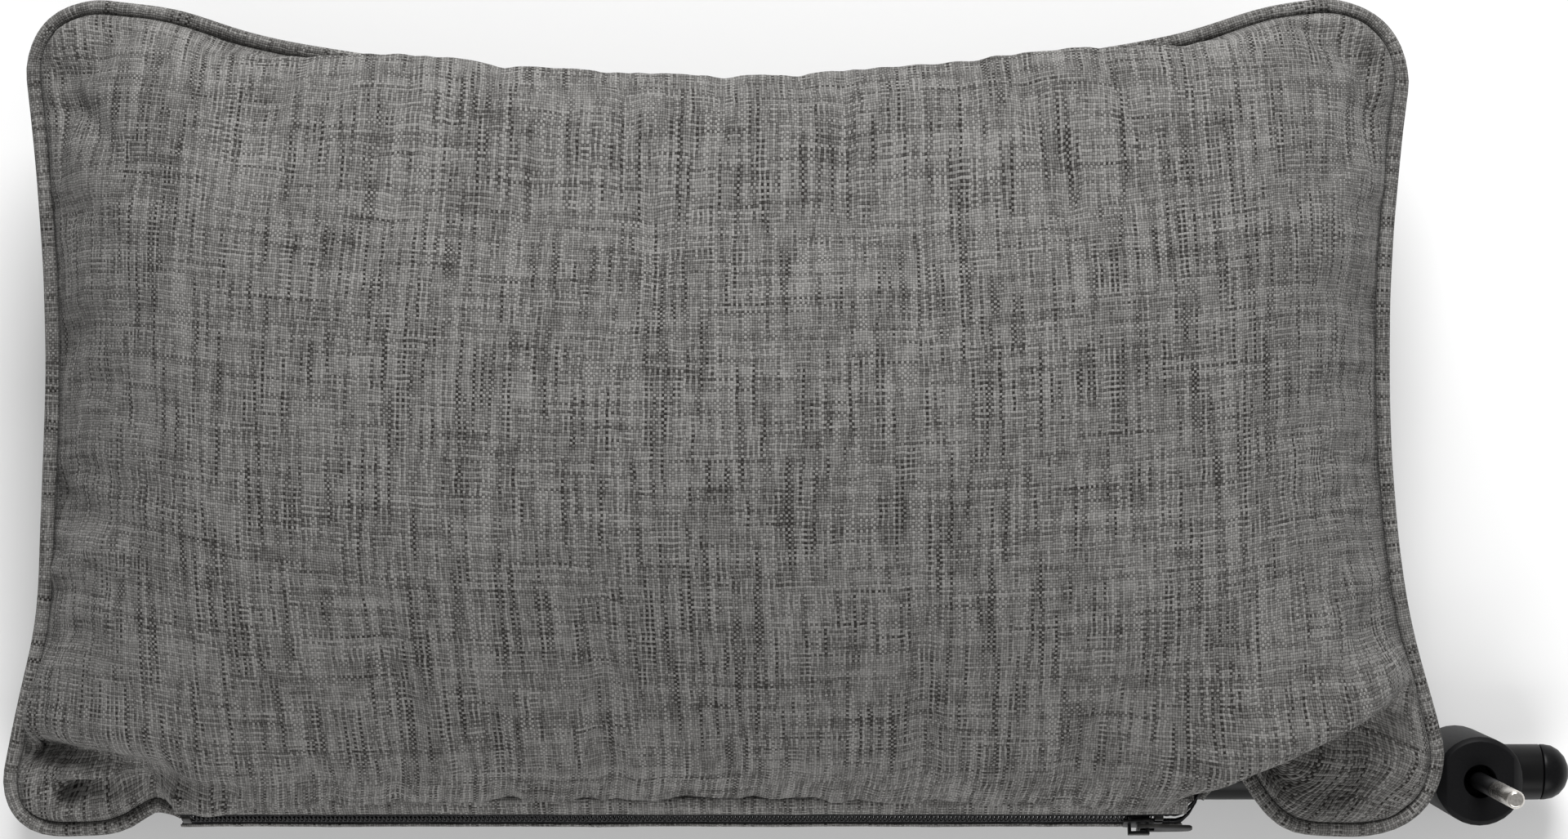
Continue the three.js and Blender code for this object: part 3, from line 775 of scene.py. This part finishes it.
def piping_line():
    """The seam's line moved out by the piping's radius, from the zip's right end round to its
    left end."""
    count = len(seam_loop)
    line = []
    for index, place in enumerate(seam_loop):
        ahead = (seam_loop[(index + 1) % count] - seam_loop[index - 1]).normalized()
        outwards = ahead.cross(Vector((0, 0, 1))).normalized()
        line.append(place + outwards * (piping_radius - 0.5 * MM))
    on_zip = [p.y < -0.8 * half_height and zip_ends[0] + 2 * MM < p.x < zip_ends[1] - 1 * MM
              for p in line]
    first = next(i for i in range(count) if not on_zip[i] and on_zip[i - 1])
    kept = [line[(first + i) % count] for i in range(count) if not on_zip[(first + i) % count]]
    return even_points(kept, piping_steps)


def piping_girth(index, count):
    """The cloth is never quite even over its cord, and the welt is trimmed thin at its ends."""
    from_end = min(index, count - 1 - index) * 1.9 * MM
    uneven = 1 + 0.05 * noise.noise(Vector((index * 0.09, 3.3, 0.0)))
    return uneven * (0.35 + 0.65 * soft_step(from_end, 0, piping_taper))


def sweep_piping(name, path, radius, sides, material):
    """A round tube along the piping's path, uneven and tapered as the welt is."""
    piece = sweep(name, path, ring_section(radius, sides), material)
    for index, vertex in enumerate(piece.data.vertices):
        centre = path[index // sides]
        vertex.co = centre + (vertex.co - centre) * piping_girth(index // sides, len(path))
    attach(piece, "cushion")
    return piece


path = piping_line()
piping = sweep_piping("piping", path, piping_radius, 14, cover_cloth)
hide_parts("piping_cover")
cotton = soft_white("piping_cotton", calico_dark, calico_light, 1400.0)
piping_core = sweep_piping("piping_core", path[2:-2], 0.7 * piping_radius, 8, cotton)
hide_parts("piping_cord")


# ----------------------------------------------------------
# The zip: two black woven tapes, each with a nylon coil sewn along it, in the bottom edge. The
# cloth's raw edges are folded under and sewn down along each tape as a hem.
# ----------------------------------------------------------
def black_weave(name, pitch, dark, light, roughness):
    """A fine warp-faced weave: ribs along the strip and short picks across them."""
    dye = Dye(name)
    spread = dye.add("SeparateXYZ", Vector=dye.place("UV", (1 / pitch,) * 3))
    ribs = dye.sum("ABSOLUTE", dye.sum("SINE", dye.sum("MULTIPLY", spread.outputs[1], math.pi)))
    offset = dye.sum("MULTIPLY", dye.sum("FLOOR", spread.outputs[1]), 0.5)
    picks = dye.sum("ABSOLUTE", dye.sum("SINE", dye.sum(
        "MULTIPLY", dye.sum("ADD", spread.outputs[0], offset), math.pi * 0.6)))
    height = dye.sum("MULTIPLY", ribs, dye.sum("MULTIPLY_ADD", picks, 0.6, 0.4))
    lint = dye.mottle("UV", 2500.0, 2.0)
    # The colour follows the height: lighter on the tops of the ribs and picks, darker in the
    # grooves between them as painted shade, and mottled by lint.
    share = dye.sum("MULTIPLY", height, lint)
    dye.set("Specular IOR Level", 0.15)
    return dye.finish(dye.mix(share, (*dark, 1), (*light, 1)), roughness, height, 0.3 * pitch)


zip_tape_weave = black_weave("zip_tape_weave", pitch=0.5 * MM, dark=(0.0015, 0.0015, 0.0018),
                             light=(0.008, 0.008, 0.009), roughness=0.85)


def in_zip(x, up, out):
    """A place given along, up and out from the middle of the zip."""
    return zip_mid + Vector((x, 0, 0)) + zip_up * up + zip_out * out


def strip_section(low, high, under, over, edge):
    """A flat strip's section with rounded edges, as (up, out) pairs."""
    return [(low, under + edge), (low + edge, under), (high - edge, under), (high, under + edge),
            (high, over - edge), (high - edge, over), (low + edge, over), (low, over - edge)]


def along_zip(name, left, right, section, material, steps=140):
    """A sweep along the zip, its section given as (up, out) pairs."""
    line = [in_zip(left + (right - left) * step / steps, 0, 0) for step in range(steps + 1)]
    turned = [(-up, out) for up, out in section]
    return sweep(name, line, turned, material, upright=zip_out)


tape_inner, tape_outer, tape_half = 2.3 * MM, 5.8 * MM, 0.35 * MM
for side, name in ((1, "front"), (-1, "back")):
    low, high = sorted((side * tape_inner, side * tape_outer))
    section = strip_section(low, high, -tape_half, tape_half, 0.12 * MM)
    tape = along_zip(f"tape_{name}", *zip_ends, section, zip_tape_weave)
    for vertex in tape.data.vertices:
        # The sewn edge of a tape cockles a little between its stitches
        local = vertex.co - zip_mid
        near_edge = soft_step(abs(local.dot(zip_up)), tape_inner, tape_outer)
        wave = noise.noise(Vector((vertex.co.x * 110, side * 5.0, 0.0)))
        vertex.co += zip_out * near_edge * wave * 0.35 * MM
        # Past the slider the tapes turn up into the tuck
        vertex.co.y += 8 * MM * max(0.0, (vertex.co.x - 127 * MM) / (7 * MM)) ** 2
    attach(tape, "cushion")
    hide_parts(f"zip_tape_{name}")


# The cover's raw edges, turned under and laid over the outer part of each tape
for side, name in ((1, "front"), (-1, "back")):
    folded = [(5.4, 0.38), (5.2, 0.58), (5.4, 0.8), (6.2, 0.9), (7.5, 0.7),
              (10.0, 0.0), (12.5, -1.4), (12.0, -2.6), (9.0, -1.6), (6.4, 0.38)]
    section = [(side * up * MM, out * MM) for up, out in folded]
    hem = along_zip(f"hem_{name}", zip_ends[0] - 1 * MM, zip_ends[1] - 4 * MM, section,
                    cover_cloth, steps=260)
    for vertex in hem.data.vertices:
        x = vertex.co.x
        wave = noise.noise(Vector((x * 42, side * 9.0, 0.0)))
        wave += 0.4 * noise.noise(Vector((x * 160, side, 2.0)))
        vertex.co += zip_up * side * wave * 0.7 * MM
    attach(hem, "cushion")


def repeat_along(name, runs, unit, spacing, material, wobble=0.0, seed=1):
    """Copies of a small mesh along runs of (place, facing) pairs: its X lies along the run and
    its Z points the way the run faces. The result is one plain mesh."""
    tree = bpy.data.node_groups.new(name, "GeometryNodeTree")
    sockets = {}
    for label, kind, is_input in (
        ("Runs", "NodeSocketGeometry", True), ("Unit", "NodeSocketObject", True),
        ("Spacing", "NodeSocketFloat", True), ("Wobble", "NodeSocketFloat", True),
        ("Seed", "NodeSocketInt", True), ("Made", "NodeSocketGeometry", False),
    ):
        way = "INPUT" if is_input else "OUTPUT"
        socket = tree.interface.new_socket(label, in_out=way, socket_type=kind)
        sockets[label] = socket.identifier

    def add(kind, **settings):
        node = tree.nodes.new(kind)
        for key, value in settings.items():
            setattr(node, key, value)
        return node

    given, made = add("NodeGroupInput"), add("NodeGroupOutput")
    curve = add("GeometryNodeMeshToCurve")
    spaced = add("GeometryNodeResampleCurve", mode="LENGTH")
    shape = add("GeometryNodeObjectInfo", transform_space="ORIGINAL")
    copies = add("GeometryNodeInstanceOnPoints")
    facing = add("GeometryNodeInputNamedAttribute", data_type="FLOAT_VECTOR")
    facing.inputs["Name"].default_value = "facing"
    ahead = add("FunctionNodeAlignRotationToVector", axis="X")
    upright = add("FunctionNodeAlignRotationToVector", axis="Z", pivot_axis="X")
    chance = add("FunctionNodeRandomValue", data_type="FLOAT_VECTOR")
    spread = add("ShaderNodeVectorMath", operation="SCALE")
    chance.inputs["Min"].default_value = (0, -0.4, -1)
    chance.inputs["Max"].default_value = (0, 0.4, 1)
    turn = add("FunctionNodeRotateRotation", rotation_space="LOCAL")
    plain, painted = add("GeometryNodeRealizeInstances"), add("GeometryNodeSetMaterial")
    painted.inputs["Material"].default_value = material
    tangent = add("GeometryNodeInputTangent")
    for source, output, target, entry in (
        (given, "Runs", curve, "Mesh"), (curve, "Curve", spaced, "Curve"),
        (given, "Spacing", spaced, "Length"), (given, "Unit", shape, "Object"),
        (spaced, "Curve", copies, "Points"), (shape, "Geometry", copies, "Instance"),
        (tangent, 0, ahead, "Vector"), (ahead, 0, upright, "Rotation"),
        (facing, "Attribute", upright, "Vector"), (given, "Seed", chance, "Seed"),
        (chance, "Value", spread, 0), (given, "Wobble", spread, "Scale"),
        (upright, 0, turn, "Rotation"), (spread, 0, turn, "Rotate By"),
        (turn, 0, copies, "Rotation"), (copies, "Instances", plain, "Geometry"),
        (plain, "Geometry", painted, "Geometry"), (painted, "Geometry", made, "Made"),
    ):
        tree.links.new(source.outputs[output], target.inputs[entry])

    points = [place for run in runs for place, _ in run]
    edges, first = [], 0
    for run in runs:
        edges += [(first + step, first + step + 1) for step in range(len(run) - 1)]
        first += len(run)
    mesh = bpy.data.meshes.new(name)
    mesh.from_pydata(points, edges, [])
    directions = mesh.attributes.new("facing", "FLOAT_VECTOR", "POINT")
    ways = [way for run in runs for _, way in run]
    directions.data.foreach_set("vector", [value for way in ways for value in way])
    piece = put_in_scene(name, mesh)
    scene.collection.objects.link(unit)
    modifier = piece.modifiers.new("copies", "NODES")
    modifier.node_group = tree
    modifier[sockets["Unit"]] = unit
    modifier[sockets["Spacing"]] = spacing
    modifier[sockets["Wobble"]] = wobble
    modifier[sockets["Seed"]] = seed
    keep_shape(piece)
    bpy.data.objects.remove(unit)
    return piece


def bent_wire(name, line, radius, sides=6):
    """A small unit for copying: a round wire along a line, in the unit's own X, Y and Z."""
    points, faces = [], []
    for index, place in enumerate(line):
        before, after = line[max(index - 1, 0)], line[min(index + 1, len(line) - 1)]
        ahead = (after - before).normalized()
        sideways = ahead.orthogonal() if index == 0 else sideways - ahead * sideways.dot(ahead)
        sideways.normalize()
        up = ahead.cross(sideways)
        for corner in range(sides):
            turn = 2 * math.pi * corner / sides
            points.append(place + (sideways * math.cos(turn) + up * math.sin(turn)) * radius)
    for index in range(len(line) - 1):
        for corner in range(sides):
            nearby = (corner + 1) % sides
            faces.append((index * sides + corner, index * sides + nearby,
                          (index + 1) * sides + nearby, (index + 1) * sides + corner))
    faces.append(tuple(range(sides))[::-1])
    faces.append(tuple((len(line) - 1) * sides + corner for corner in range(sides)))
    mesh = bpy.data.meshes.new(name)
    mesh.from_pydata(points, [], faces)
    tidy_normals(mesh)
    mesh.shade_smooth()
    return bpy.data.objects.new(name, mesh)


def stitch(length, radius):
    """One stitch: a short thread that rises out of the cloth and dips back in."""
    places = [(-0.5, -1.2), (-0.38, 0.1), (-0.15, 0.7), (0.15, 0.7), (0.38, 0.1), (0.5, -1.2)]
    return bent_wire("stitch", [Vector((x * length, 0, z * radius)) for x, z in places], radius, 5)


def thread(name, dark, light):
    """Twisted polyester thread."""
    dye = Dye(name)
    twist = dye.mottle("Object", 3000.0, 2.0)
    colour = dye.mix(twist, (*dark, 1), (*light, 1))
    return dye.finish(colour, 0.7, twist, 0.05 * MM)


def coil_nylon():
    """The smooth black nylon that the coils are wound from."""
    dye = Dye("coil_nylon")
    mould = dye.mottle("Object", 800.0, 2.0)
    colour = dye.mix(mould, (0.003, 0.003, 0.0035, 1), (0.012, 0.012, 0.013, 1))
    roughness = dye.sum("MULTIPLY_ADD", mould, 0.2, 0.35)
    dye.set("Specular IOR Level", 0.2)
    return dye.finish(colour, roughness, mould, 0.03 * MM)


coil_pitch, coil_wire = 1.2 * MM, 0.27 * MM
coil_left, coil_right = (corner[0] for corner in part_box("zip_coil_front"))
nylon = coil_nylon()
black_thread = thread("black_thread", (0.006, 0.006, 0.007), (0.03, 0.03, 0.032))
for side, name in ((1, "front"), (-1, "back")):
    # One turn of the coil: out of the tape, over to the middle, round its head and back under
    turn_places = [(-0.30, 2.5, -0.25), (-0.24, 1.9, 0.55), (-0.10, 0.9, 0.68), (-0.04, 0.0, 0.60),
                   (0.02, -0.42, 0.0), (0.04, 0.0, -0.60), (0.12, 0.9, -0.68), (0.26, 1.9, -0.55)]
    turn_line = [Vector((x, side * up, out)) * MM for x, up, out in turn_places]
    offset = 0 if side > 0 else coil_pitch / 2
    ends = (coil_left + 0.6 * MM + offset, coil_right - 0.6 * MM + offset - coil_pitch / 2)
    run = [(in_zip(x, 0, 0), zip_out) for x in ends]
    coil_turn = bent_wire("coil_turn", turn_line, coil_wire)
    coil = repeat_along(f"coil_{name}", [run], coil_turn, coil_pitch, nylon)
    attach(coil, "cushion")
    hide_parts(f"zip_coil_{name}")

coil_seam = [[(in_zip(x, up, tape_half), zip_out)
              for x in (zip_ends[0] + 1 * MM, zip_ends[1] - 7 * MM)]
             for up in (-2.75 * MM, 2.75 * MM)]
coil_stitches = repeat_along("coil_stitches", coil_seam, stitch(1.7 * MM, 0.14 * MM), 2.0 * MM,
                             black_thread, wobble=0.06, seed=4)
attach(coil_stitches, "cushion")


# The slider, its pull and the stops are die-cast metal, painted black and worn bright on their
# edges. Each is a copy of the solid model's shape with its edges rounded over.
def rounded_copy(name, node, width, material, body, segments=2):
    """A solid's shape with its triangles merged and its sharp edges rounded over."""
    mesh = frame["nodes"][node].data.copy()
    form = bmesh.new()
    form.from_mesh(mesh)
    bmesh.ops.remove_doubles(form, verts=form.verts, dist=0.005 * MM)
    flat = math.radians(1.5)
    bmesh.ops.dissolve_limit(form, angle_limit=flat, verts=form.verts, edges=form.edges)
    form.to_mesh(mesh)
    form.free()
    mesh.materials.clear()
    mesh.materials.append(material)
    piece = put_in_scene(name, mesh)
    bevel = piece.modifiers.new("rounded_edges", "BEVEL")
    bevel.width = width
    bevel.segments = segments
    bevel.limit_method = "ANGLE"
    bevel.angle_limit = math.radians(35)
    keep_shape(piece)
    piece.data.set_sharp_from_angle(angle=math.radians(40))
    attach(piece, body)
    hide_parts(node)
    return piece


def painted_metal(name, paint, metal, wear, roughness, grain):
    """Thin paint over metal: a fine orange peel, and wear that shows the metal at edges."""
    dye = Dye(name)
    peel = dye.mottle("Object", grain, 3.0)
    patches = dye.mottle("Object", grain * 0.12, 4.0)
    edges = dye.add("NewGeometry").outputs["Pointiness"]
    rubbed = dye.sum("MULTIPLY", dye.sum("SUBTRACT", edges, 0.52), 22.0)
    worn = dye.sum("MULTIPLY", rubbed, dye.sum("MULTIPLY", patches, wear))
    bare = dye.add("Clamp", Value=worn)
    colour = dye.mix(bare.outputs[0], (*paint, 1), (*metal, 1))
    rough = dye.sum("MULTIPLY_ADD", patches, 0.18, roughness - 0.09)
    dye.set("Specular IOR Level", 0.15)
    return dye.finish(colour, rough, peel, 0.02 * MM, 0.6)


slider_metal = painted_metal("slider_metal", paint=(0.004, 0.004, 0.0045),
                             metal=(0.35, 0.34, 0.32), wear=0.12, roughness=0.3, grain=2600.0)
for name, node, width, body in (
    ("slider", "zip_slider", 0.3 * MM, "slider"), ("pull", "zip_pull", 0.3 * MM, "pull"),
    ("end_stop", "zip_end_stop", 0.25 * MM, "cushion"),
    ("top_stop_front", "zip_top_stop_front", 0.2 * MM, "cushion"),
    ("top_stop_back", "zip_top_stop_back", 0.2 * MM, "cushion"),
):
    rounded_copy(name, node, width, slider_metal, body)


# ----------------------------------------------------------
# The bar: a steel tube in satin black paint, with a domed nylon cap pushed into each end.
# ----------------------------------------------------------
bar_paint = painted_metal("bar_paint", paint=(0.003, 0.003, 0.0032), metal=(0.02, 0.02, 0.02),
                          wear=0.2, roughness=0.36, grain=900.0)


def moulded_nylon(name, roughness, grain):
    """Black nylon from a lightly textured mould."""
    dye = Dye(name)
    texture = dye.mottle("Object", grain, 4.0)
    cells = dye.add("TexVoronoi", Vector=dye.place("Object"), Scale=grain * 0.7)
    height = dye.sum("MULTIPLY_ADD", cells.outputs[0], 0.5, texture)
    colour = dye.mix(texture, (0.0025, 0.0025, 0.003, 1), (0.007, 0.007, 0.0075, 1))
    rough = dye.sum("MULTIPLY_ADD", texture, 0.16, roughness - 0.08)
    dye.set("Specular IOR Level", 0.1)
    return dye.finish(colour, rough, height, 0.03 * MM, 0.5)


cap_nylon = moulded_nylon("cap_nylon", 0.36, 1500.0)
block_nylon = moulded_nylon("block_nylon", 0.5, 1900.0)
rounded_copy("bar", "bar_tube", 0.25 * MM, bar_paint, "bar")
for side in ("right", "left"):
    rounded_copy(f"cap_{side}", f"end_cap_{side}", 0.25 * MM, cap_nylon, "bar")


# ----------------------------------------------------------
# The turning blocks: one near each end of the bar, moulded in black nylon with a counterbore
# for a steel pin. The pin is sleeved in black except for its bright turned end.
# ----------------------------------------------------------
def turned_steel(name, across, along):
    """Bright drawn steel with fine turning rings. across and along scale the pattern."""
    dye = Dye(name)
    rings = dye.mottle("Object", 1.0, 3.0, along)
    specks = dye.mottle("Object", 1.0, 2.0, across)
    shine = dye.sum("MULTIPLY", rings, specks)
    colour = dye.mix(specks, (0.50, 0.47, 0.43, 1), (0.90, 0.87, 0.82, 1))
    dye.set("Metallic", 1.0)
    rough = dye.sum("MULTIPLY_ADD", shine, 0.3, 0.16)
    return dye.finish(colour, rough, rings, 0.02 * MM, 0.4)


for side, ring_scale in (("right", (150, 150, 7000)), ("left", (150, 7000, 150))):
    body = f"{side}_block"
    steel = turned_steel(f"pin_steel_{side}", (1500, 1500, 1500), ring_scale)
    rounded_copy(f"block_{side}", f"boss_{side}", 0.5 * MM, block_nylon, body, 3)
    rounded_copy(f"pin_{side}_steel", f"pin_{side}", 0.12 * MM, steel, body)
    rounded_copy(f"pin_{side}_sleeve", f"pin_sleeve_{side}", 0.1 * MM, cap_nylon, body)


# ----------------------------------------------------------
# The webbing loops: two slings of black polyester webbing round the bar, their tops sewn flat
# to the back panel with two rows of thread.
# ----------------------------------------------------------
webbing_weave = black_weave("webbing_weave", pitch=1.3 * MM, dark=(0.006, 0.006, 0.0065),
                            light=(0.04, 0.04, 0.043), roughness=0.75)
cover_tree = BVHTree.FromPolygons([v.co for v in cover.data.vertices],
                                  [tuple(p.vertices) for p in cover.data.polygons])
strap_half, strap_width = 0.65 * MM, 25 * MM


def back_of_cover(x, y):
    """The lowest level of the cover across a strap's width."""
    levels = []
    for step in range(7):
        start = Vector((x + strap_width * (step / 6 - 0.5), y, -50 * MM))
        hit = cover_tree.ray_cast(start, Vector((0, 0, 1)))[0]
        levels.append(hit.z if hit else seam_level)
    return min(levels)


def strap_line(x):
    """Along the panel from the inner side to the outer side, then down round the bar."""
    line = []
    for step in range(9):
        y = bar_y + (13 - 2 * step) * MM
        line.append(Vector((x, y, back_of_cover(x, y) - strap_half - 0.1 * MM)))
    sling = bar_radius + 0.9 * MM
    for step in range(25):
        turn = math.radians(160 + 180 * step / 24)
        line.append(Vector((x, bar_y + sling * math.cos(turn), bar_z + sling * math.sin(turn))))
    return even_points(line + [line[0]], 90)[:-1]


strap_section = strip_section(-strap_half, strap_half, -strap_width / 2, strap_width / 2,
                              edge=0.35 * MM)
strap_section = strap_section[1:] + strap_section[:1]
for side in ("right", "left"):
    low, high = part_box(f"bar_loop_{side}")
    x = (low[0] + high[0]) / 2
    strap = sweep(f"strap_{side}", strap_line(x), strap_section, webbing_weave,
                  upright=Vector((1, 0, 0)), closed=True)
    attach(strap, "cushion")
    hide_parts(f"bar_loop_{side}")
    rows = []
    for y in (bar_y + 10 * MM, bar_y + 6 * MM):
        level = back_of_cover(x, y) - 2 * strap_half - 0.15 * MM
        rows.append([(Vector((x + shift, y, level)), Vector((0, 0, -1)))
                     for shift in (-strap_width / 2 + 2 * MM, strap_width / 2 - 2 * MM)])
    seam_thread = repeat_along(f"strap_{side}_stitches", rows, stitch(2.4 * MM, 0.25 * MM), 3 * MM,
                               black_thread, wobble=0.08, seed=6)
    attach(seam_thread, "cushion")
